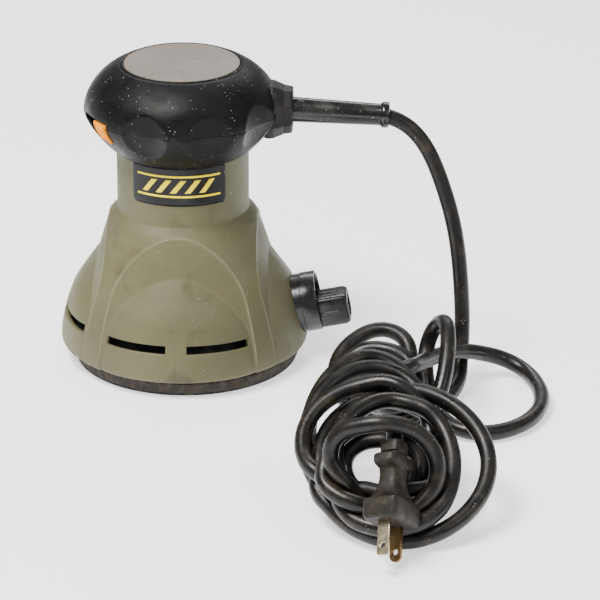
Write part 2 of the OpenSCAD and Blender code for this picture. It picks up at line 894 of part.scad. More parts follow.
motor_housing();
name_plate();
grip_lower_shell();
grip_upper_shell();
grip_cap();
grip_screws();
cord_boss();
strain_relief();
switch_slider();
switch_bezel();
switch_body();
cord_clamp();
clamp_screws();
suppression_capacitor();
internal_leads();
bearing_bracket();
bracket_screws();
upper_bearing_outer();
upper_bearing_inner();
upper_bearing_balls();
stator_core();
field_coils();
armature_core();
armature_winding();
commutator();
motor_shaft();
brush_holders();
brush_front();
brush_back();
brush_spring_front();
brush_spring_back();
bearing_plate();
bearing_plate_screws();
lower_bearing_outer();
lower_bearing_inner();
lower_bearing_balls();
fan();
eccentric_hub();
counterweight();
pad_bearing_outer();
pad_bearing_inner();
pad_bearing_balls();
pad_spindle();
pad_stud();
pad_plate();
pad_foam();
hook_face();
pad_brake_ring();
dust_shroud();
dust_collar();
dust_nozzle();
cord_lead();
cord_back_turns();
cord_loop();
cord_stand();
cord_coil();
cord_tail();
plug_body();
plug_blades();
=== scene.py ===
import json
import math

import bpy
import numpy as np
from mathutils import Matrix, Vector


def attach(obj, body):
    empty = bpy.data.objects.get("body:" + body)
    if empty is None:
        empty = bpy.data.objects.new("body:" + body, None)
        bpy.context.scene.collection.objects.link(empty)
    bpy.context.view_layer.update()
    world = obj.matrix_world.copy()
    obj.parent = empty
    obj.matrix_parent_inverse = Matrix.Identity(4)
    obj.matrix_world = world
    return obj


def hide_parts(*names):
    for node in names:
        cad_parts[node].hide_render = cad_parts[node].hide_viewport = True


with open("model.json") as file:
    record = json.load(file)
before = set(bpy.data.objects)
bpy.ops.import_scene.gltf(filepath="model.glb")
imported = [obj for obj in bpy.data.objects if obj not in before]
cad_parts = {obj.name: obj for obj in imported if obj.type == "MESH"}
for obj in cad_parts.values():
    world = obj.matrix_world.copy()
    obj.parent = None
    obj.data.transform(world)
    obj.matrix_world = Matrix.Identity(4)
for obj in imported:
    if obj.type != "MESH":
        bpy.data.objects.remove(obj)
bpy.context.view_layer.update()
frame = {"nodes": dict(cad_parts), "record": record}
MM = 0.001


# ---------------------------------------------------------------- camera, floor and light

def make_camera():
    """The one camera: a long lens that looks down on the front."""
    pitch, yaw, roll = (math.radians(a) for a in (23.52, 2.14, 0.23))
    forward = Vector((-math.sin(yaw) * math.cos(pitch), math.cos(yaw) * math.cos(pitch),
                      -math.sin(pitch)))
    level = Vector((math.cos(yaw), math.sin(yaw), 0))
    up = level.cross(forward)
    right = math.cos(roll) * level + math.sin(roll) * up
    top = math.cos(roll) * up - math.sin(roll) * level
    data = bpy.data.cameras.new("camera")
    data.sensor_width = 36
    data.lens = 198.1
    data.clip_start = 0.05
    data.clip_end = 20
    camera = bpy.data.objects.new("camera", data)
    turn = Matrix((right, top, -forward)).transposed().to_4x4()
    camera.matrix_world = Matrix.Translation((0.1268, -1.6762, 0.761)) @ turn
    bpy.context.scene.collection.objects.link(camera)
    bpy.context.scene.camera = camera


def srgb(red, green, blue):
    """A colour given from 0 to 255 as linear light."""
    out = []
    for value in (red, green, blue):
        value = value / 255
        out.append(value / 12.92 if value <= 0.04045 else ((value + 0.055) / 1.055) ** 2.4)
    return (*out, 1)


def area_light(name, place, target, size, power, tint=(1, 1, 1)):
    """A soft rectangular lamp at place, aimed at target, with its power in watts."""
    data = bpy.data.lights.new(name, "AREA")
    data.shape = "RECTANGLE"
    data.size, data.size_y = size
    data.energy = power
    data.color = tint
    lamp = bpy.data.objects.new(name, data)
    lamp.location = place
    aim = Vector(target) - Vector(place)
    lamp.rotation_mode = "QUATERNION"
    lamp.rotation_quaternion = aim.to_track_quat("-Z", "Y")
    bpy.context.scene.collection.objects.link(lamp)


def make_studio():
    """A wide pale floor and soft light from above."""
    corners = [(x, y, -0.0003) for x, y in ((-5, -5), (5, -5), (5, 5), (-5, 5))]
    mesh = bpy.data.meshes.new("floor")
    mesh.from_pydata(corners, [], [(0, 1, 2, 3)])
    floor = bpy.data.objects.new("floor", mesh)
    bpy.context.scene.collection.objects.link(floor)
    cloth = bpy.data.materials.new("floor")
    cloth.use_nodes = True
    shader = cloth.node_tree.nodes["Principled BSDF"]
    shader.inputs["Base Color"].default_value = srgb(252, 252, 253)
    shader.inputs["Roughness"].default_value = 0.75
    shader.inputs["Specular IOR Level"].default_value = 0.2
    shader.inputs["Emission Color"].default_value = (1, 1, 1, 1)
    shader.inputs["Emission Strength"].default_value = 1.0
    mesh.materials.append(cloth)
    world = bpy.data.worlds.new("room")
    bpy.context.scene.world = world
    world.use_nodes = True
    world.node_tree.nodes["Background"].inputs[0].default_value = (0.93, 0.96, 1, 1)
    world.node_tree.nodes["Background"].inputs[1].default_value = 0.42
    area_light("key", (-0.5, -0.5, 1.5), (0.05, -0.05, 0.05), (0.8, 0.5), 50, (1, 0.985, 0.96))
    area_light("fill", (1.1, -0.8, 1.0), (0.05, -0.05, 0.08), (0.8, 0.8), 4, (0.95, 0.98, 1))
    area_light("rim", (0.2, 1.2, 1.1), (0.05, 0, 0.1), (1.0, 0.4), 9)


# ---------------------------------------------------------------- materials

def paint(name, base, tint, roughness, metal=0.0, patch=25, grain=900, bump=0.25,
          dust=0.0, dust_tint=(190, 180, 165), specks=0.0, stains=0.0,
          stain_tint=(60, 52, 42), rough_spread=0.12, specular=0.5, highlight_and_wear_tint=None,
          painted_glow=0.0):
    """A worn surface: patchy colour, fine grain, dust on what faces up, specks and stains.

    base and tint are the two colours of the patches, from 0 to 255. patch and grain are how
    many patches and grains there are in a metre. dust, specks and stains run from 0 to 1.
    The edge tint is the colour along edges that the mesh marks in an attribute: a painted
    highlight along the housing's creases, partly worn paint. The emission strength makes a surface
    shine in its own colour: painted light that keeps a bright print bright."""
    made = bpy.data.materials.new(name)
    made.use_nodes = True
    nodes, links = made.node_tree.nodes, made.node_tree.links
    shader = nodes["Principled BSDF"]
    shader.inputs["Metallic"].default_value = metal
    shader.inputs["Specular IOR Level"].default_value = specular
    # Emission in the base colour is painted light. Only the yellow print and the orange slider get
    # it.
    shader.inputs["Emission Color"].default_value = srgb(*base)
    shader.inputs["Emission Strength"].default_value = painted_glow
    place = nodes.new("ShaderNodeTexCoord").outputs["Object"]

    def noise(scale, detail=4.0):
        node = nodes.new("ShaderNodeTexNoise")
        node.inputs["Scale"].default_value = scale
        node.inputs["Detail"].default_value = detail
        links.new(place, node.inputs["Vector"])
        return node.outputs["Fac"]

    def spread(value, low, high, to_low=0.0, to_high=1.0):
        node = nodes.new("ShaderNodeMapRange")
        for socket, number in zip(("From Min", "From Max", "To Min", "To Max"),
                                  (low, high, to_low, to_high)):
            node.inputs[socket].default_value = number
        links.new(value, node.inputs["Value"])
        return node.outputs[0]

    def times(first, second):
        node = nodes.new("ShaderNodeMath")
        node.operation = "MULTIPLY"
        links.new(first, node.inputs[0])
        if isinstance(second, float):
            node.inputs[1].default_value = second
        else:
            links.new(second, node.inputs[1])
        return node.outputs[0]

    def mix(factor, first, second):
        node = nodes.new("ShaderNodeMix")
        node.data_type = "RGBA"
        links.new(factor, node.inputs[0])
        for socket, value in ((node.inputs[6], first), (node.inputs[7], second)):
            if isinstance(value, tuple):
                socket.default_value = value
            else:
                links.new(value, socket)
        return node.outputs[2]

    colour = mix(spread(noise(patch, 5.0), 0.35, 0.65), srgb(*base), srgb(*tint))
    shade = tuple(0.72 * v for v in srgb(*base)[:3]) + (1,)
    colour = mix(spread(noise(grain, 3.0), 0.55, 0.8, 0.0, 0.5), colour, shade)
    if stains:
        marks = spread(noise(patch * 3.1, 8.0), 0.62 - 0.12 * stains, 0.74, 0.0, 0.85)
        colour = mix(marks, colour, srgb(*stain_tint))
    if highlight_and_wear_tint:
        # A lighter tint along the edges that the mesh marks: a painted highlight on the housing's
        # creases, broken up by noise like worn paint.
        mark = nodes.new("ShaderNodeAttribute")
        mark.attribute_name = "highlight_and_wear"
        highlight_and_rubbing = times(mark.outputs["Fac"], spread(noise(patch * 8, 6.0), 0.3, 0.6, 0.45, 0.9))
        colour = mix(highlight_and_rubbing, colour, srgb(*highlight_and_wear_tint))
    rough = spread(noise(patch * 2.3, 6.0), 0.3, 0.7, max(0.04, roughness - rough_spread),
                   min(1.0, roughness + rough_spread))
    if dust:
        normal = nodes.new("ShaderNodeNewGeometry").outputs["Normal"]
        split = nodes.new("ShaderNodeSeparateXYZ")
        links.new(normal, split.inputs[0])
        facing_up = spread(split.outputs[2], -0.2, 0.9, 0.15, 1.0)
        film = times(spread(noise(patch * 4.3, 9.0), 0.42, 0.72, 0.0, dust), facing_up)
        colour = mix(film, colour, srgb(*dust_tint))
    if specks:
        cells = nodes.new("ShaderNodeTexVoronoi")
        cells.inputs["Scale"].default_value = 640
        links.new(place, cells.inputs["Vector"])
        dots = spread(cells.outputs["Distance"], 0.08, 0.13, 1.0, 0.0)
        where = spread(noise(patch * 5.2, 2.0), 0.66 - 0.14 * specks, 0.70 - 0.1 * specks)
        colour = mix(times(dots, where), colour, srgb(225, 220, 212))
    links.new(colour, shader.inputs["Base Color"])
    links.new(rough, shader.inputs["Roughness"])
    relief = nodes.new("ShaderNodeBump")
    relief.inputs["Strength"].default_value = bump
    relief.inputs["Distance"].default_value = 0.00025
    links.new(noise(grain, 5.0), relief.inputs["Height"])
    links.new(relief.outputs[0], shader.inputs["Normal"])
    return made


def make_paints():
    """One finish for each material slot of the record, and a few that share another's slot."""
    metal = dict(metal=1.0, stain_tint=(70, 60, 48), grain=1500, bump=0.12)
    return {
        # The housing's lighter edge tint is a painted highlight along its arched creases, partly
        # worn paint.
        "housing": paint("housing", (100, 97, 68), (86, 84, 60), 0.52, patch=16, grain=1300,
                         bump=0.22, stains=0.4, stain_tint=(70, 64, 45), dust=0.06,
                         specks=0.2, highlight_and_wear_tint=(138, 134, 104), specular=0.25),
        "label": paint("label", (14, 14, 18), (10, 10, 14), 0.35, bump=0.05, specks=0.35,
                       dust=0.02, specular=0.25),
        # The yellow print is given a little emission: painted light.
        "label_yellow": paint("label_yellow", (252, 226, 0), (246, 214, 0), 0.45, bump=0.05,
                              stains=0.1, stain_tint=(170, 140, 30), specular=0.03, painted_glow=0.3),
        "grip_rubber": paint("grip_rubber", (6, 6, 7), (12, 11, 12), 0.46, patch=30,
                             bump=0.35, dust=0.03, dust_tint=(110, 104, 98), specks=0.9,
                             stains=0.1, stain_tint=(40, 34, 28), rough_spread=0.14,
                             specular=0.16),
        "cap_plastic": paint("cap_plastic", (122, 114, 107), (112, 105, 97), 0.5, patch=20,
                             bump=0.15, stains=0.35, stain_tint=(84, 75, 64), specks=0.1,
                             specular=0.3),
        "boss_plastic": paint("boss_plastic", (14, 13, 13), (24, 21, 20), 0.5, patch=45,
                              bump=0.4, dust=0.1, dust_tint=(110, 100, 90), specks=0.4,
                              specular=0.25),
        "port_plastic": paint("port_plastic", (16, 16, 18), (23, 22, 23), 0.28, patch=60,
                              bump=0.2, dust=0.07, dust_tint=(140, 130, 112), specks=0.25),
        "relief_rubber": paint("relief_rubber", (12, 12, 13), (18, 17, 17), 0.24, patch=50,
                               bump=0.2, dust=0.05, specks=0.8),
        # The orange slider is given a little emission: painted light.
        "orange_plastic": paint("orange_plastic", (248, 152, 0), (240, 138, 0), 0.5,
                                patch=90, bump=0.12, stains=0.2, stain_tint=(110, 60, 8),
                                specular=0.03, painted_glow=0.15),
        "dark_plastic": paint("dark_plastic", (44, 44, 47), (52, 51, 53), 0.5, bump=0.3,
                              dust=0.2, specks=0.2),
        "capacitor_film": paint("capacitor_film", (196, 182, 88), (184, 168, 78), 0.35,
                                bump=0.1, dust=0.15),
        "lead_sleeve": paint("lead_sleeve", (40, 44, 130), (34, 38, 112), 0.45, bump=0.15,
                             dust=0.15),
        "steel": paint("steel", (176, 176, 180), (160, 160, 164), 0.28, stains=0.2, **metal),
        "zinc_steel": paint("zinc_steel", (190, 190, 188), (172, 170, 160), 0.36,
                            stains=0.25, **metal),
        "core_steel": paint("core_steel", (118, 118, 122), (102, 100, 100), 0.5,
                            stains=0.5, **metal),
        "copper_wire": paint("copper_wire", (196, 112, 60), (172, 92, 46), 0.36,
                             stains=0.3, **metal),
        "copper_bar": paint("copper_bar", (204, 136, 84), (178, 110, 64), 0.33,
                            stains=0.5, **metal),
        "brass_plate": paint("brass_plate", (206, 172, 92), (186, 150, 78), 0.34,
                             stains=0.3, **metal),
        "cast_alloy": paint("cast_alloy", (168, 168, 172), (150, 150, 154), 0.52,
                            stains=0.3, **metal),
        "weight_metal": paint("weight_metal", (128, 128, 134), (112, 112, 118), 0.55,
                              stains=0.4, **metal),
        "carbon": paint("carbon", (36, 36, 38), (46, 46, 48), 0.62, bump=0.5),
        "pad_plastic": paint("pad_plastic", (50, 47, 44), (60, 56, 51), 0.6, dust=0.4,
                             bump=0.3),
        "foam": paint("foam", (34, 29, 24), (54, 46, 38), 0.85, patch=70, grain=1400,
                      bump=0.9, dust=0.2, specks=0.15, rough_spread=0.08),
        "hook_cloth": paint("hook_cloth", (34, 33, 33), (46, 44, 43), 0.9, patch=60,
                            grain=2200, bump=1.0, dust=0.3, rough_spread=0.05),
        "cord_rubber": paint("cord_rubber", (9, 9, 9), (17, 15, 13), 0.36, patch=28,
                             bump=0.35, stains=0.4, stain_tint=(58, 48, 36), dust=0.09,
                             dust_tint=(120, 106, 88), specks=0.3, rough_spread=0.14,
                             specular=0.32),
        "plug_rubber": paint("plug_rubber", (17, 15, 12), (27, 23, 18), 0.5, patch=55,
                             bump=0.6, stains=0.5, stain_tint=(62, 50, 32), dust=0.12,
                             dust_tint=(120, 104, 78), specular=0.3),
        "blade_nickel": paint("blade_nickel", (190, 180, 152), (160, 146, 112), 0.3,
                              stains=0.6, patch=90, **metal),
        "blade_brass": paint("blade_brass", (150, 122, 84), (112, 86, 56), 0.34,
                             stains=0.8, patch=90, **metal),
    }


# ---------------------------------------------------------------- building pieces

def new_piece(name, vertices, faces, material, body, smooth=True):
    """A mesh in metres with a finish, which moves with a body and stands in a material slot."""
    mesh = bpy.data.meshes.new(name)
    mesh.from_pydata([tuple(v) for v in vertices], [], faces)
    mesh.validate()
    piece = bpy.data.objects.new(name, mesh)
    bpy.context.scene.collection.objects.link(piece)
    mesh.materials.append(paints[material])
    mesh.polygons.foreach_set("use_smooth", [smooth] * len(mesh.polygons))
    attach(piece, body)
    return piece


def soft_edges(piece, width, segments, angle):
    """Rounds the edges that are sharper than angle, by so many metres."""
    bevel = piece.modifiers.new("edges", "BEVEL")
    bevel.width = width
    bevel.segments = segments
    bevel.limit_method = "ANGLE"
    bevel.angle_limit = math.radians(angle)


def sharp_smooth(piece, angle=35):
    """Marks edges sharper than angle, so that smooth shading keeps them crisp."""
    mesh = piece.data
    mesh.set_sharp_from_angle(angle=math.radians(angle))
    return piece


def grid_faces(rows, columns, closed, skip=None):
    """Quads between rows of points; closed joins the last column to the first."""
    faces = []
    for i in range(rows - 1):
        for j in range(columns if closed else columns - 1):
            if skip is None or not skip(i, j):
                k = (j + 1) % columns
                faces.append((i * columns + j, i * columns + k,
                              (i + 1) * columns + k, (i + 1) * columns + j))
    return faces


def ring_faces(rows, columns):
    """Closed quads between rows, and from the last row back to the first."""
    faces = grid_faces(rows, columns, True)
    last = (rows - 1) * columns
    for j in range(columns):
        k = (j + 1) % columns
        faces.append((last + j, last + k, k, j))
    return faces


def lathe(name, profile, material, body, turns=96, place=None):
    """A turned piece: profile is (radius, height) in mm, going round the section once."""
    vertices = []
    for radius, height in profile:
        for j in range(turns):
            angle = 2 * math.pi * j / turns
            vertices.append(Vector((radius * math.cos(angle), radius * math.sin(angle),
                                    height)) * MM)
    if place is not None:
        vertices = [place @ v for v in vertices]
    faces = ring_faces(len(profile), turns)
    return sharp_smooth(new_piece(name, vertices, faces, material, body))


def loft(name, sections, material, body, place, angle=35):
    """Skin over sections, each a list of points in mm, with both ends closed."""
    count = len(sections[0])
    vertices = [place @ (Vector(p) * MM) for section in sections for p in section]
    faces = grid_faces(len(sections), count, True)
    faces.append(tuple(range(count))[::-1])
    faces.append(tuple(range((len(sections) - 1) * count, len(sections) * count)))
    return sharp_smooth(new_piece(name, vertices, faces, material, body), angle)


def oval(half_x, half_y, z, power=4, count=48):
    """A rounded rectangle in mm: power 2 is an ellipse and higher powers are squarer."""
    points = []
    for i in range(count):
        turn = 2 * math.pi * (i + 0.5) / count
        c, s = math.cos(turn), math.sin(turn)
        x = half_x * math.copysign(abs(c) ** (2 / power), c)
        y = half_y * math.copysign(abs(s) ** (2 / power), s)
        points.append((x, y, z))
    return points


# ---------------------------------------------------------------- cord

CORD_D = 0.0086
STEP = 0.0045
# How far apart points so many steps along the cord stay, in steps: it can't bend tighter.
BEND_LIMITS = ((2, 1.97), (4, 3.72), (6, 5.1))
SETTLE_ROUNDS = 250
LEAD = [
    (0.098, 0, 0.1416), (0.112, 0, 0.141), (0.120, 0, 0.1385), (0.128, -0.001, 0.132),
    (0.135, -0.003, 0.121), (0.141, -0.006, 0.106), (0.147, -0.010, 0.088),
    (0.151, -0.014, 0.069), (0.154, -0.022, 0.034), (0.154, -0.028, 0.019),
    (0.154, -0.037, 0.008), (0.152, -0.050, 0.0044), (0.147, -0.065, 0.0044),
    (0.140, -0.079, 0.0044), (0.130, -0.091, 0.0044), (0.117, -0.096, 0.0044),
    (0.103, -0.091, 0.005), (0.092, -0.080, 0.007),
]
BACK = [
    (0.086, -0.067, 0.011), (0.085, -0.054, 0.017), (0.091, -0.043, 0.023),
    (0.101, -0.036, 0.028), (0.110, -0.034, 0.030), (0.119, -0.036, 0.029),
    (0.125, -0.043, 0.025), (0.126, -0.053, 0.018), (0.124, -0.065, 0.012),
    (0.118, -0.077, 0.011), (0.108, -0.084, 0.012), (0.097, -0.084, 0.014),
    (0.090, -0.076, 0.017), (0.091, -0.067, 0.023), (0.100, -0.064, 0.029),
    (0.111, -0.066, 0.032), (0.122, -0.070, 0.031), (0.129, -0.077, 0.025),
    (0.130, -0.087, 0.018), (0.125, -0.097, 0.015), (0.115, -0.102, 0.017),
    (0.108, -0.108, 0.024), (0.110, -0.114, 0.031),
]
LOOP = [
    (0.118, -0.114, 0.036), (0.125, -0.101, 0.036), (0.132, -0.080, 0.031),
    (0.142, -0.058, 0.026), (0.153, -0.042, 0.021), (0.164, -0.031, 0.015),
    (0.177, -0.026, 0.010), (0.189, -0.033, 0.006), (0.196, -0.050, 0.0044),
    (0.197, -0.073, 0.0044), (0.190, -0.093, 0.0044), (0.179, -0.105, 0.0044),
    (0.166, -0.111, 0.0044), (0.153, -0.108, 0.005), (0.143, -0.098, 0.006),
]
STAND = [
    (0.137, -0.084, 0.0125), (0.135, -0.070, 0.014), (0.134, -0.058, 0.020),
    (0.135, -0.050, 0.029), (0.138, -0.049, 0.038), (0.142, -0.054, 0.044),
    (0.145, -0.064, 0.046), (0.146, -0.077, 0.042), (0.145, -0.089, 0.033),
    (0.142, -0.100, 0.022), (0.136, -0.109, 0.012), (0.126, -0.114, 0.005),
    (0.112, -0.116, 0.0044), (0.098, -0.120, 0.0044), (0.086, -0.128, 0.0044),
    (0.079, -0.140, 0.0044), (0.076, -0.155, 0.0044),
]
TAIL = [
    (0.122, -0.210, 0.015), (0.126, -0.200, 0.014), (0.125, -0.191, 0.018),
    (0.124, -0.185, 0.030), (0.122, -0.186, 0.042), (0.1205, -0.195, 0.051),
    (0.1195, -0.207, 0.054), (0.119, -0.218, 0.0485),
]
# The big coil, one value for each turn: its x at the left and at the right, and its (y, z)
# at the front and at the back.
COIL_LEFT = (0.076, 0.074, 0.073, 0.071, 0.080, 0.087, 0.086, 0.085, 0.094)
COIL_RIGHT = (0.138, 0.139, 0.140, 0.144, 0.168, 0.149, 0.141, 0.134, 0.131)
COIL_FRONT = ((-0.194, 0.0044), (-0.202, 0.006), (-0.210, 0.011), (-0.218, 0.018),
              (-0.236, 0.0044), (-0.238, 0.012), (-0.231, 0.013), (-0.218, 0.016),
              (-0.212, 0.013))
COIL_BACK = ((-0.125, 0.005), (-0.113, 0.050), (-0.135, 0.054), (-0.160, 0.055),
             (-0.152, 0.044), (-0.160, 0.0535), (-0.171, 0.053), (-0.2195, 0.062),
             (-0.180, 0.034))
COIL_START, COIL_END, COIL_STEPS = 0.3, 8.5, 14


def coil_points():
    """The tilted coil's points: back, left, front and right of each turn in order."""
    turns = range(len(COIL_LEFT))
    points = []
    first = int(COIL_START * COIL_STEPS) + 1
    last = int(COIL_END * COIL_STEPS)
    for i in range(first, last + 1):
        t = i / COIL_STEPS
        left = np.interp(t - 0.25, turns, COIL_LEFT)
        right = np.interp(t - 0.75, turns, COIL_RIGHT)
        front = [np.interp(t - 0.5, turns, [v[k] for v in COIL_FRONT]) for k in (0, 1)]
        back = [np.interp(t, turns, [v[k] for v in COIL_BACK]) for k in (0, 1)]
        angle = math.pi / 2 + 2 * math.pi * t
        share = (math.sin(angle) + 1) / 2
        points.append(((left + right) / 2 + (right - left) / 2 * math.cos(angle),
                       front[0] + (back[0] - front[0]) * share,
                       front[1] + (back[1] - front[1]) * share))
    return points


def even(line, step):
    """The same line with points a step apart."""
    lengths = np.linalg.norm(np.diff(line, axis=0), axis=1)
    along = np.concatenate([[0], np.cumsum(lengths)])
    places = np.linspace(0, along[-1], int(round(along[-1] / step)) + 1)
    return np.stack([np.interp(places, along, line[:, k]) for k in range(3)], 1)


def smooth_line(points, step):
    """A smooth curve through the points, with points a step apart."""
    p = np.array(points, float)
    p = np.vstack([2 * p[0] - p[1], p, 2 * p[-1] - p[-2]])
    line = []
    for i in range(1, len(p) - 2):
        a, b, c, d = p[i - 1:i + 3]
        for u in np.linspace(0, 1, 12, endpoint=False):
            line.append(0.5 * (2 * b + (c - a) * u + (2 * a - 5 * b + 4 * c - d) * u ** 2
                               + (3 * b - a - 3 * c + d) * u ** 3))
    line.append(p[-2])
    return even(np.array(line), step)


def settle(line):
    """Moves strands that lie in one another apart, and keeps the length and the bends even."""
    p, rest = line.copy(), line.copy()
    step = np.linalg.norm(np.diff(line, axis=0), axis=1).mean()
    first, second = np.triu_indices(len(p), 4)
    free = np.ones(len(p))
    free[:3] = 0
    free[-3:] = 0
    for turn in range(SETTLE_ROUNDS):
        # A slight pull back to the route
        p += 0.01 * (rest - p) * free[:, None]
        # Strands that touch push each other away
        if turn % 5 == 0:
            near = np.linalg.norm(p[first] - p[second], axis=1) < 1.6 * CORD_D
            i, j = first[near], second[near]
        apart = p[i] - p[j]
        gap = np.linalg.norm(apart, axis=1)
        hit = gap < CORD_D
        push = apart[hit] / gap[hit][:, None] * ((CORD_D - gap[hit]) * 0.5)[:, None]
        move, count = np.zeros_like(p), np.ones(len(p))
        np.add.at(move, i[hit], push)
        np.add.at(move, j[hit], -push)
        np.add.at(count, i[hit], 1)
        np.add.at(count, j[hit], 1)
        p += move / np.sqrt(count)[:, None] * free[:, None]
        # Tight bends open
        for span, reach in BEND_LIMITS:
            across = p[span:] - p[:-span]
            length = np.linalg.norm(across, axis=1)
            want = np.maximum(length, reach * step)
            fix = across / length[:, None] * ((want - length) * 0.25)[:, None]
            p[span:] += fix * free[span:, None]
            p[:-span] -= fix * free[:-span, None]
        # Each step keeps its length
        for start in (0, 1):
            a = np.arange(start, len(p) - 1, 2)
            along = p[a + 1] - p[a]
            length = np.linalg.norm(along, axis=1)
            fix = along / length[:, None] * ((length - step) * 0.5)[:, None]
            p[a] += fix * free[a, None]
            p[a + 1] -= fix * free[a + 1, None]
        # The line stays smooth and above the floor
        middle = 0.5 * (p[:-2] + p[2:])
        p[1:-1] += 0.12 * (middle - p[1:-1]) * free[1:-1, None]
        p[:, 2] = np.maximum(p[:, 2], CORD_D / 2)
    return p


def make_cord():
    """The whole cord, from inside the strain relief to the back of the plug."""
    route = LEAD + BACK + LOOP + STAND + coil_points() + TAIL
    path = smooth_line(settle(smooth_line(route, STEP)), 0.0022)
    curve = bpy.data.curves.new("mains_cord", "CURVE")
    curve.dimensions = "3D"
    curve.bevel_depth = CORD_D / 2
    curve.bevel_resolution = 4
    curve.use_fill_caps = True
    spline = curve.splines.new("POLY")
    spline.points.add(len(path) - 1)
    for point, at in zip(spline.points, path):
        point.co = (*at, 1)
    spline.use_smooth = True
    cord = bpy.data.objects.new("mains_cord", curve)
    bpy.context.scene.collection.objects.link(cord)
    curve.materials.append(paints["cord_rubber"])
    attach(cord, "housing")
    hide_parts("cord_lead", "cord_back_turns", "cord_loop", "cord_stand", "cord_coil",
                "cord_tail")
    return cord


# ---------------------------------------------------------------- strain relief and plug

BOSS_X = 60
BOSS_Z = 143.3


def make_relief():
    """The smooth sleeve that carries the cord out of the grip, with a ring at its end."""
    place = (Matrix.Translation((BOSS_X * MM, 0, BOSS_Z * MM))
             @ Matrix.Rotation(math.radians(90 + 2.6), 4, "Y"))
    profile = [(4.0, -12), (6.9, -12), (6.9, 0), (6.85, 2), (6.6, 14), (6.3, 30), (5.95, 46),
               (6.1, 47.4), (6.9, 48.2), (7.15, 49.2), (7.15, 50.8), (6.8, 51.8),
               (6.0, 52.2), (4.6, 52.2), (4.0, 51.4)]
    piece = lathe("cord_sleeve", profile, "relief_rubber", "housing", 64, place)
    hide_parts("strain_relief")
    return piece


# The plug's length and the distance between its blades, in mm
PLUG_LENGTH = 40
BLADE_SPACING = 12.7


def plug_place():
    """The plug's own axes: Z runs from the cord to the blades."""
    return (Matrix.Translation(TAIL[-1])
            @ Matrix.Rotation(math.radians(-2), 4, "Z")
            @ Matrix.Rotation(math.radians(90 + 45), 4, "X")
            @ Matrix.Rotation(math.radians(-63), 4, "Z"))


def make_plug():
    """The moulded plug and its two blades, whose tips are rounded differently."""
    place = plug_place()
    # Local height, half width, half thickness and squareness of each section
    shape = [
        (-2.5, 5.0, 4.6, 3), (-1.5, 6.0, 5.4, 4), (3.5, 6.3, 5.6, 4), (4.2, 5.6, 5.2, 4),
        (5.2, 5.8, 5.4, 4), (6.0, 10.4, 6.6, 4), (7.0, 11.5, 7.0, 4), (9.8, 11.5, 7.0, 4),
        (10.8, 10.6, 6.6, 4), (12.0, 6.8, 6.0, 3), (15.0, 6.2, 5.8, 3), (19.0, 6.6, 6.0, 3),
        (23.0, 7.4, 6.6, 4), (26.5, 9.0, 7.6, 5), (28.6, 10.4, 8.4, 6),
        (29.4, 12.6, 9.3, 8), (30.2, 13.4, 9.7, 9), (38.4, 13.2, 9.6, 9),
        (39.4, 12.8, 9.2, 8), (40.0, 12.0, 8.4, 7),
    ]
    body = loft("plug_moulding", [oval(x, y, z, p) for z, x, y, p in shape], "plug_rubber",
                "housing", place, 40)
    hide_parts("plug_body")
    blades = []
    for name, side, tip, material in (("plug_blade_left", -1, 1.2, "blade_nickel"),
                                      ("plug_blade_right", 1, 2.9, "blade_brass")):
        blades.append(make_blade(name, side * BLADE_SPACING / 2, tip, material, place))
    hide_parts("plug_blades")
    return [body, *blades]


def make_blade(name, across, tip, material, place):
    """A flat blade with a round hole; tip is the radius of its outer corners in mm."""
    curve = bpy.data.curves.new(name, "CURVE")
    curve.dimensions = "2D"
    curve.fill_mode = "BOTH"
    curve.extrude = 0.55 * MM
    curve.bevel_depth = 0.2 * MM
    curve.bevel_resolution = 2
    half, length = 3.0, 17.3
    hole_r, hole_at = 1.65, 12.5
    outline = [(-half, -3), (half, -3)]
    for x, turns in ((half - tip, range(0, 91, 15)), (tip - half, range(90, 181, 15))):
        for turn in turns:
            angle = math.radians(turn)
            outline.append((x + tip * math.cos(angle), length - tip + tip * math.sin(angle)))
    hole = []
    for i in range(24):
        angle = 2 * math.pi * i / 24
        hole.append((hole_r * math.cos(angle), hole_at + hole_r * math.sin(angle)))
    for line in (outline, hole):
        spline = curve.splines.new("POLY")
        spline.use_cyclic_u = True
        spline.points.add(len(line) - 1)
        for point, (x, y) in zip(spline.points, line):
            point.co = (x * MM, y * MM, 0, 1)
    blade = bpy.data.objects.new(name, curve)
    bpy.context.scene.collection.objects.link(blade)
    upright = Matrix(((0, 0, 1, across * MM), (1, 0, 0, 0), (0, 1, 0, PLUG_LENGTH * MM),
                      (0, 0, 0, 1)))
    blade.matrix_world = place @ upright
    curve.materials.append(paints[material])
    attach(blade, "housing")
    return blade


# ---------------------------------------------------------------- housing

SKIRT_R = 67.8
NECK_R = 36.0
PORT_TILT = math.radians(11)
PORT_AT = Vector((63.5, 0, 29.4))
PORT_HOLE_R = 16.35
# The two arches on each face: half width in degrees, foot of the round top, and its rise
OUTER_ARCH = (39.5, 48, 35)
INNER_ARCH = (38.5, 25, 37)
PRINT_THICKNESS = 0.2


def at_port(drop=0):
    """Places a piece on the dust port's axis, with Z pointing out and X down."""
    place = Matrix.Translation(PORT_AT * MM) @ Matrix.Rotation(math.pi / 2 - PORT_TILT, 4, "Y")
    return place @ Matrix.Translation((drop * MM, 0, 0))


def crease_distance(azimuth, z, half, foot, height, radius):
    """Distance in mm inside an arch: half is its half width in degrees, foot the height
    where its round top starts, and height how far the top rises above that."""
    side = (half - np.abs(azimuth)) * math.pi / 180 * radius
    x = azimuth * math.pi / 180 * radius
    wide = half * math.pi / 180 * radius
    y = z - foot
    q = np.sqrt((x / wide) ** 2 + (y / height) ** 2) + 1e-9
    slope = np.sqrt((x / wide ** 2) ** 2 + (y / height ** 2) ** 2) + 1e-9
    return np.where(z < foot, side, (1 - q) * q / slope)


def arch_slope(inside):
    """How deep a face lies, so many mm inside its arch: a step at the edge, then a slope."""
    return 0.225 * inside + 0.6 * (1 - np.exp(-np.maximum(inside, 0) / 1.2))


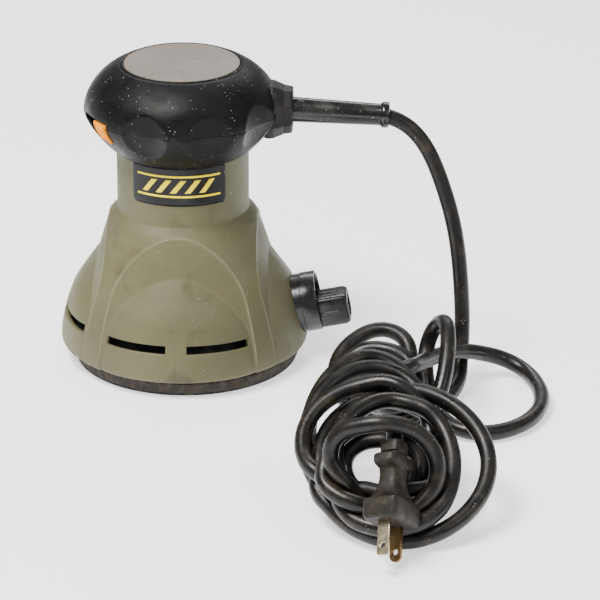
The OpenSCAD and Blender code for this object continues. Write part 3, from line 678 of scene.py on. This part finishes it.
def arch_depth(azimuth, z, radius):
    """How far each arched face lies below the bell's cone, in mm."""
    to_outer = crease_distance(azimuth, z, *OUTER_ARCH, radius)
    to_inner = crease_distance(azimuth, z, *INNER_ARCH, radius)
    wide, foot, rise = INNER_ARCH
    above = np.maximum(z - foot, 0)
    q = np.sqrt((azimuth / wide) ** 2 + (above / rise) ** 2) + 1e-9
    crease_azimuth = azimuth / q
    crease_z = np.where(z < foot, z, foot + above / q)
    reach = crease_distance(crease_azimuth, crease_z, *OUTER_ARCH, radius)
    band = arch_slope(to_outer)
    dome = np.maximum(arch_slope(reach), 0.3) - 0.26 * to_inner
    floor = -0.45 * np.clip(to_inner / 12, 0, 1)
    dome = 0.5 * (dome + floor + np.sqrt((dome - floor) ** 2 + 0.5))
    depth = np.where(to_inner > 0, dome, band)
    bead = 0.16 * np.exp(-(to_outer / 0.7) ** 2)
    return np.where(to_outer > 0, np.maximum(depth, -0.45), 0) - bead


def crease_highlight_and_wear(azimuth, z, radius):
    """How much lighter the housing's arched edges are painted, from 0 to 1: a painted highlight
    along the creases, partly worn paint.
    """
    outer = crease_distance(azimuth, z, *OUTER_ARCH, radius)
    inner = crease_distance(azimuth, z, *INNER_ARCH, radius)
    faint = np.where(z > 24, 0.14, 0.0) * np.exp(-(inner / 1.0) ** 2)
    fade = np.clip((z - 13) / 10, 0, 1)
    return np.maximum(0.75 * fade * np.exp(-(outer / 0.45) ** 2), faint)


def housing_radius(azimuth, z):
    """The housing's outer radius in mm at each azimuth and height."""
    cone = SKIRT_R - 0.048 * np.maximum(z - 13, 0) ** 1.49
    cone = np.where(z < 11.5, cone - 0.35 * (11.5 - z) ** 1.6, cone)
    face = (azimuth + 45) % 90 - 45
    bell = cone - arch_depth(face, z, cone)
    heights = [79, 82, 83.5, 85, 86.3, 87.5, 89]
    radii = [42.95, 41.5, 40.3, 38.9, 37.4, 36.25, 36.0]
    shoulder = np.interp(z, heights, radii)
    return np.where(z > 82, np.where(z > 89, NECK_R, shoulder), bell)


def make_housing():
    """The bell and neck as one wall, with its slots, the port's hole and the arched edges painted
    lighter, as a highlight and as worn paint.
    """
    step = 0.5
    azimuths = np.arange(0, 360, step)
    slot_low, slot_high = 26.0, 30.4
    slot_near, slot_far = 5, 36.5
    heights = [10, 10.3, 10.8, 11.5, 12.5, *np.arange(14, 26, 1.2), slot_low, 27.1, 28.2,
               29.3, slot_high, *np.arange(31.2, 81.9, 0.75), 82, 82.8, 83.5, 84.3, 85, 85.7, 86.3,
               86.9, 87.5, 88.2, 89, 92, 96, 100, 106, 112, 118, 123, 128]
    heights = np.array(heights, float)
    grid_a, grid_z = np.meshgrid(azimuths, heights)
    radius = housing_radius(grid_a, grid_z)
    turn = np.radians(grid_a - 90)
    points = np.stack([radius * np.cos(turn), radius * np.sin(turn), grid_z], -1)
    # The round hole for the port: nearby points move onto its edge
    down = np.array([math.sin(PORT_TILT), 0, -math.cos(PORT_TILT)])
    offset = points - np.array(PORT_AT)
    a, b = offset @ down, offset[..., 1]
    reach = np.hypot(a, b)
    edge = (np.abs(reach - PORT_HOLE_R) < 0.45) & (points[..., 0] > 30)
    scale = np.where(edge, PORT_HOLE_R / np.maximum(reach, 1e-6), 1)
    points = points + ((scale - 1) * a)[..., None] * down
    points[..., 1] += (scale - 1) * b
    columns = len(azimuths)
    centre = 0.25 * (points[:-1] + points[1:] + np.roll(points, -1, 1)[:-1]
                     + np.roll(points, -1, 1)[1:])
    offset = centre - np.array(PORT_AT)
    reach = np.hypot(offset @ down, offset[..., 1])
    in_port = (reach < PORT_HOLE_R - 0.05) & (centre[..., 0] > 30)

    def skip(i, j):
        if in_port[i, j]:
            return True
        middle = azimuths[j] + step / 2
        face = (middle + 45) % 90 - 45
        slotted = abs(middle - 90) > 45
        inside = slot_low <= heights[i] and heights[i + 1] <= slot_high + 0.01
        return bool(slotted and inside and slot_near < abs(face) < slot_far)

    faces = grid_faces(len(heights), columns, True, skip)
    piece = new_piece("bell_housing", points.reshape(-1, 3) * MM, faces, "housing", "housing")
    # The arched creases are painted lighter: a painted highlight, partly worn paint.
    highlight_and_wear = crease_highlight_and_wear((grid_a + 45) % 90 - 45, grid_z, radius)
    highlight_and_wear[grid_z > 84] = 0
    mark = piece.data.attributes.new("highlight_and_wear", "FLOAT", "POINT")
    mark.data.foreach_set("value", highlight_and_wear.ravel())
    wall = piece.modifiers.new("wall", "SOLIDIFY")
    wall.thickness = 2.6 * MM
    wall.offset = -1
    wall.use_rim = True
    sharp_smooth(piece, 28)
    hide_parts("motor_housing")


def on_neck(azimuth, radius, z):
    """A point in metres, azimuth degrees from the middle of the neck's front."""
    turn = math.radians(azimuth - 90)
    return radius * MM * math.cos(turn), radius * MM * math.sin(turn), z * MM


def add_sheet(piece, thickness):
    """Thickens a curved sheet inwards, by so many mm."""
    wall = piece.modifiers.new("sheet", "SOLIDIFY")
    wall.thickness = thickness * MM
    wall.offset = -1


def neck_patch(name, azimuth, low, high, radius, material, lift=0.5):
    """A thin curved plate on the neck, azimuth degrees to each side."""
    steps = max(2, int(azimuth * 2))
    rows = max(2, int((high - low) / 2))
    corner = min(1.6, (high - low) / 3)
    vertices = []
    for i in range(rows + 1):
        z = low + (high - low) * i / rows
        near_edge = min(z - low, high - z)
        trim = 0.0
        if near_edge < corner:
            trim = corner - math.sqrt(max(corner ** 2 - (corner - near_edge) ** 2, 0))
        half = azimuth - math.degrees(trim / radius)
        for j in range(steps + 1):
            vertices.append(on_neck(half * (2 * j / steps - 1), radius, z))
    faces = grid_faces(rows + 1, steps + 1, False)
    piece = new_piece(name, vertices, faces, material, "housing")
    add_sheet(piece, lift)
    return piece


def slash(name, centre, lean, width, low, high, radius):
    """A leaning bar of the printed pattern, centred on an azimuth in degrees."""
    vertices = []
    rows, across = 6, 4
    for i in range(rows + 1):
        z = low + (high - low) * i / rows
        middle = centre + lean * (i / rows - 0.5)
        for j in range(across + 1):
            vertices.append(on_neck(middle + width * (j / across - 0.5), radius, z))
    piece = new_piece(name, vertices, grid_faces(rows + 1, across + 1, False), "label_yellow",
                      "housing")
    add_sheet(piece, PRINT_THICKNESS)


def make_label():
    """The dark plate on the neck, with two yellow lines and five slashes for its print."""
    plate = neck_patch("label_plate", 43, 100, 122.6, NECK_R + 0.55, "label")
    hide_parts("name_plate")
    print_r = NECK_R + 0.67
    for k, (low, high) in enumerate(((105.0, 106.1), (116.4, 117.5))):
        neck_patch(f"label_line_{k + 1}", 37.5, low, high, print_r, "label_yellow",
                   PRINT_THICKNESS)
    for k in range(5):
        slash(f"label_slash_{k + 1}", -25 + 12.5 * k, 9, 5, 107.6, 114.9, print_r)


# ---------------------------------------------------------------- grip

# Azimuths of the finger hollows' middles, and the switch's opening: its sides in degrees
# and its lower and upper ends in mm
DIMPLES = (-19, 20.5, 57, 123, 161, 199, 237)
SWITCH_SIDES = (-72.1, -45.9)
SWITCH_ENDS = (133.6, 146.4)
GRIP_WIDEST_Z = 143.5


def grip_radius(z):
    """The grip's outer radius in mm at each height."""
    low = np.clip((GRIP_WIDEST_Z - z) / 22, 0, 1)
    high = np.clip((z - GRIP_WIDEST_Z) / 27, 0, 1)
    lower = NECK_R + 17.3 * (1 - low ** 1.25) ** 0.8
    upper = 25 + 28.3 * (1 - high ** 1.8) ** (1 / 1.8)
    return np.where(z < GRIP_WIDEST_Z, lower, upper)


def dimple_depth(azimuth, z):
    """How deep the finger hollows are, in mm."""
    half_width, half_height, middle_z, deepest = 14.0, 13.0, 142.5, 3.2
    depth = np.zeros_like(azimuth)
    for middle in DIMPLES:
        side = (azimuth - middle + 180) % 360 - 180
        q = (side / half_width) ** 2 + ((z - middle_z) / half_height) ** 2
        depth += deepest * np.clip(1 - q, 0, 1) ** 0.9
    return depth


def make_grip_shell(name, heights, node):
    """One half of the grip, hollowed by the fingers and cut for the switch."""
    step = 0.75
    azimuths = np.arange(0, 360, step)
    grid_a, grid_z = np.meshgrid(azimuths, np.array([z for z, _ in heights]))
    inset = np.array([i for _, i in heights])[:, None]
    radius = grip_radius(grid_z) - inset
    slope = np.gradient(grip_radius(grid_z[:, 0]), grid_z[:, 0])
    length = np.sqrt(1 + slope ** 2)
    depth = dimple_depth(grid_a, grid_z)
    radius = radius - depth / length[:, None]
    height = grid_z + depth * (slope / length)[:, None]
    turn = np.radians(grid_a - 90)
    points = np.stack([radius * np.cos(turn), radius * np.sin(turn), height], -1)
    rows = grid_z[:, 0]

    def skip(i, j):
        across = (azimuths[j] + step / 2 + 180) % 360 - 180
        up = (rows[i] + rows[i + 1]) / 2
        return bool(SWITCH_SIDES[0] < across < SWITCH_SIDES[1]
                    and SWITCH_ENDS[0] < up < SWITCH_ENDS[1])

    faces = grid_faces(len(heights), len(azimuths), True, skip)
    piece = new_piece(name, points.reshape(-1, 3) * MM, faces, "grip_rubber", "housing")
    wall = piece.modifiers.new("wall", "SOLIDIFY")
    wall.thickness = 2.4 * MM
    wall.offset = -1
    sharp_smooth(piece, 40)
    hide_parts(node)


def make_grip():
    """Both halves of the grip, given as (height, inset) rows, and the rim round the cap."""
    lower = [(121.4, 0.9), (121.6, 0.1)]
    lower += [(z, 0) for z in (121.9, 122.4, 123, 123.7, *np.arange(124.5, 133.4, 0.9),
                               133.6, *np.arange(134.4, 143.3, 0.9), 143.7)]
    lower += [(143.9, 0.1), (143.97, 0.3)]
    make_grip_shell("grip_lower", lower, "grip_lower_shell")
    upper = [(144.03, 0.3), (144.1, 0.1), (144.3, 0), (145, 0), (145.7, 0), (146.4, 0)]
    upper += [(z, 0) for z in (*np.arange(147.2, 161, 0.9), *np.arange(161, 166.6, 0.7),
                               166.9, 167.4, 167.9, 168.3, 168.7)]
    make_grip_shell("grip_upper", upper, "grip_upper_shell")
    rim = float(grip_radius(np.array(168.7)))
    lathe("grip_rim", [(31.7, 166.4), (31.7, 169.0), (32.3, 169.35), (rim - 1.6, 169.25),
                       (rim - 0.4, 168.9), (rim + 0.02, 168.5), (rim - 0.6, 167.4),
                       (rim - 1.5, 166.4)],
          "grip_rubber", "housing", 160)


def make_cap():
    """The round plate on top: a shallow dome with a soft edge."""
    profile = [(0.01, 166.6), (30.9, 166.6), (31.4, 167.2), (31.4, 168.8), (31.25, 169.2),
               (30.8, 169.4)]
    for radius in (29.6, 27, 24, 20, 16, 12, 8, 4, 0.01):
        profile.append((radius, 169.45 + 0.75 * (1 - (radius / 30.8) ** 2)))
    piece = lathe("cap_disc", profile, "cap_plastic", "housing", 160)
    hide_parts("grip_cap")


def make_boss():
    """The eight-sided block where the cord leaves the grip."""
    place = Matrix.Translation((0, 0, BOSS_Z * MM)) @ Matrix.Rotation(math.pi / 2, 4, "Y")
    sides = 8
    corners = 2 * sides
    flat_middle = math.cos(math.pi / sides)

    def section(radius, at, bore=False):
        """An octagon with a point in the middle of each side, or a round bore."""
        points = []
        for k in range(corners):
            angle = math.pi / sides + 2 * math.pi * k / corners
            reach = radius * flat_middle if k % 2 and not bore else radius
            points.append((reach * math.cos(angle), reach * math.sin(angle), at))
        return points

    sections = [section(7.4, 44, True), section(15.6, 44), section(16.3, 46.5),
                section(16.0, 49.5), section(13.9, 54.6), section(13.5, 55.0),
                section(12.9, 59.0), section(12.2, 60.0), section(8.6, 60.0, True),
                section(7.6, 59.2, True)]
    vertices = [place @ (Vector(p) * MM) for s in sections for p in s]
    piece = new_piece("cord_block", vertices, ring_faces(len(sections), corners),
                      "boss_plastic", "housing", smooth=False)
    soft_edges(piece, 0.35 * MM, 2, 25)
    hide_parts("cord_boss")


def make_switch():
    """The orange slider: a button with five low ribs, which follows the grip's curve."""
    middle_z = 140
    place = (Matrix.Rotation(math.radians(-147), 4, "Z")
             @ Matrix.Translation((0, 0, middle_z * MM)))
    aside, half_width = 4.5, 5.6
    bottom, rib_pitch, inner_r = -5.6, 2.25, 46.0
    outline = [(inner_r, bottom)]
    for k in range(5):
        for at, lift in ((0, 0.0), (0.25, 0.3), (1.75, 0.3), (2.0, 0.0)):
            y = bottom + rib_pitch * k + at
            outline.append((float(grip_radius(np.array(middle_z + y))) + lift, y))
    outline.append((inner_r, 5.55))
    sections = [[(x, aside - half_width, y) for x, y in outline],
                [(x, aside + half_width, y) for x, y in outline]]
    piece = loft("switch_button", sections, "orange_plastic", "switch_button",
                 place)
    piece.data.polygons.foreach_set("use_smooth", [False] * len(piece.data.polygons))
    soft_edges(piece, 0.35 * MM, 2, 20)
    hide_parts("switch_slider")


# ---------------------------------------------------------------- dust port

def make_port():
    """The round collar, and the ribbed square nozzle that stands in it a little low."""
    collar = [(14.7, -2.5), (14.7, 10.6), (15.0, 11.3), (15.5, 11.5), (16.1, 11.4),
              (16.5, 10.8), (16.5, 3.2), (16.2, 2.9), (16.2, -6), (8.6, -6), (8.6, -3.4),
              (9.2, -2.6)]
    piece = lathe("port_collar", collar[::-1], "port_plastic", "housing", 96,
                  at_port())
    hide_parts("dust_collar")
    half = 8.75
    count = 64
    outer = [(z, half - i, 7) for z, i in ((-2.4, 0), (2, 0), (24.6, 0), (25.9, 0.25),
                                           (26.9, 0.8), (27.4, 1.6), (27.5, 2.0))]
    sections = [oval(8.4, 8.4, -7, 2, count), oval(8.4, 8.4, -2.4, 2, count)]
    sections += [oval(r, r, z, p, count) for z, r, p in outer]
    sections += [oval(6.9, 6.9, 27.4, 2, count), oval(6.5, 6.5, 27.0, 2, count),
                 oval(6.5, 6.5, -7, 2, count)]
    place = at_port(5.5)
    vertices = [place @ (Vector(p) * MM) for s in sections for p in s]
    nozzle = new_piece("port_nozzle", vertices, ring_faces(len(sections), count),
                       "port_plastic", "housing")
    sharp_smooth(nozzle, 32)
    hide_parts("dust_nozzle")
    for k, (x, y, turn) in enumerate(((0, -half, 0), (0, half, 0), (-half, 0, 90),
                                      (-half, -4.2, 90), (-half, 4.2, 90))):
        rib = [oval(0.8, 0.5, z, 3, 12) for z in (1, 22)]
        spot = place @ Matrix.Translation((x * MM, y * MM, 0)) @ Matrix.Rotation(
            math.radians(turn), 4, "Z")
        loft(f"nozzle_rib_{k + 1}", rib, "port_plastic", "housing", spot)


# ---------------------------------------------------------------- pad

# How far the pad's axis is from the motor's, in mm
ORBIT = 1.2


def make_pad_edge():
    """The foam's rim, with the small nicks that use has left in it."""
    turns = 720
    rings = [(61.2, 1.7), (62.0, 1.75), (62.5, 2.3), (62.6, 4.6), (62.55, 6.7), (62.1, 7.5),
             (61.2, 7.7)]
    vertices = []
    for radius, z in rings:
        for j in range(turns):
            angle = 2 * math.pi * j / turns
            nick = 0.0
            for count, phase, deep in ((46, 0.3, 0.35), (29, 1.7, 0.45), (71, 2.9, 0.2)):
                nick += 2.2 * deep * max(0.0, math.sin(count * angle + phase)) ** 14
            wave = 0.12 * math.sin(5 * angle + 0.4) + 0.08 * math.sin(13 * angle)
            r = radius - (nick - wave if radius > 62.2 else 0)
            vertices.append(((r * math.cos(angle) + ORBIT) * MM, r * math.sin(angle) * MM,
                             z * MM))
    piece = new_piece("pad_rim", vertices, ring_faces(len(rings), turns), "foam", "pad")
    sharp_smooth(piece, 50)


# ---------------------------------------------------------------- carried-over CAD nodes

def paint_inner_nodes():
    """Every CAD node gets the finish of its material slot."""
    for part in frame["record"]["subparts"]:
        node = frame["nodes"][part["node"]]
        node.data.materials.clear()
        node.data.materials.append(paints[part["material_slot"]])


make_camera()
make_studio()
paints = make_paints()
paint_inner_nodes()
sleeve = make_relief()
plug = make_plug()
make_cord()
make_housing()
make_label()
make_grip()
make_cap()
make_boss()
make_switch()
make_port()
make_pad_edge()
